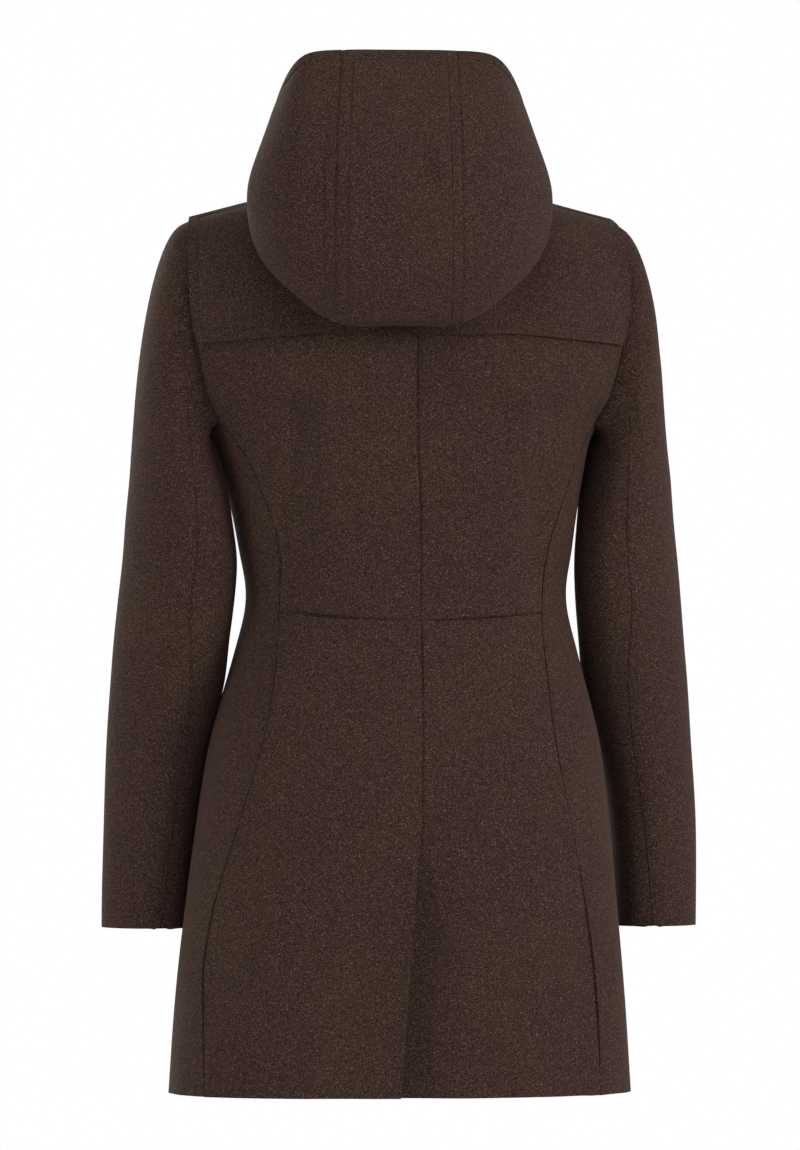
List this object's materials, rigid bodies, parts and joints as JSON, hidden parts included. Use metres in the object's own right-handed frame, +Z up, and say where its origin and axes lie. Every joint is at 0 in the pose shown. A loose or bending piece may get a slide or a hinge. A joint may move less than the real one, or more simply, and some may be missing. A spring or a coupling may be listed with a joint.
{
  "type": "duffle coat",
  "caption": "Women's fitted, flared, hooded duffle coat in brown wool, hollow and filled out as worn, with a storm yoke, a back vent, and toggles on cord loops down the front",
  "frame": {"origin": "the middle of the neck opening, level with the neck end of the shoulder seams, where the wearer's neck and shoulders hold the coat up", "axes": "+Z up as worn, -Y the coat's front, +X the wearer's left"},
  "size_m": [0.556, 0.3593, 0.9507],
  "materials": {
    "wool": "brown melange felted wool twill, matt, with a soft nap",
    "horn": "dark horn, satin",
    "cord": "dark braided cord",
    "leather": "dark brown leather, matt"
  },
  "bodies": {
    "root": {"back_upper_left": "wool", "back_upper_right": "wool", "back_lower_left": "wool", "back_lower_right": "wool", "side_left": "wool", "side_right": "wool", "front_upper_left": "wool", "front_upper_right": "wool", "front_lower_left": "wool", "front_lower_right": "wool", "sleeve_upper_left": "wool", "sleeve_upper_right": "wool", "sleeve_under_left": "wool", "sleeve_under_right": "wool", "hood_side_left": "wool", "hood_side_right": "wool", "yoke_front_left": "wool", "yoke_front_right": "wool", "yoke_back": "wool", "hood_center": "wool", "patch_left_1": "leather", "cord_left_1": "cord", "patch_right_1": "leather", "cord_right_1": "cord", "toggle_1": "horn", "patch_left_2": "leather", "cord_left_2": "cord", "patch_right_2": "leather", "cord_right_2": "cord", "toggle_2": "horn", "patch_left_3": "leather", "cord_left_3": "cord", "patch_right_3": "leather", "cord_right_3": "cord", "toggle_3": "horn", "patch_left_4": "leather", "cord_left_4": "cord", "patch_right_4": "leather", "cord_right_4": "cord", "toggle_4": "horn"}
  },
  "joints": []
}
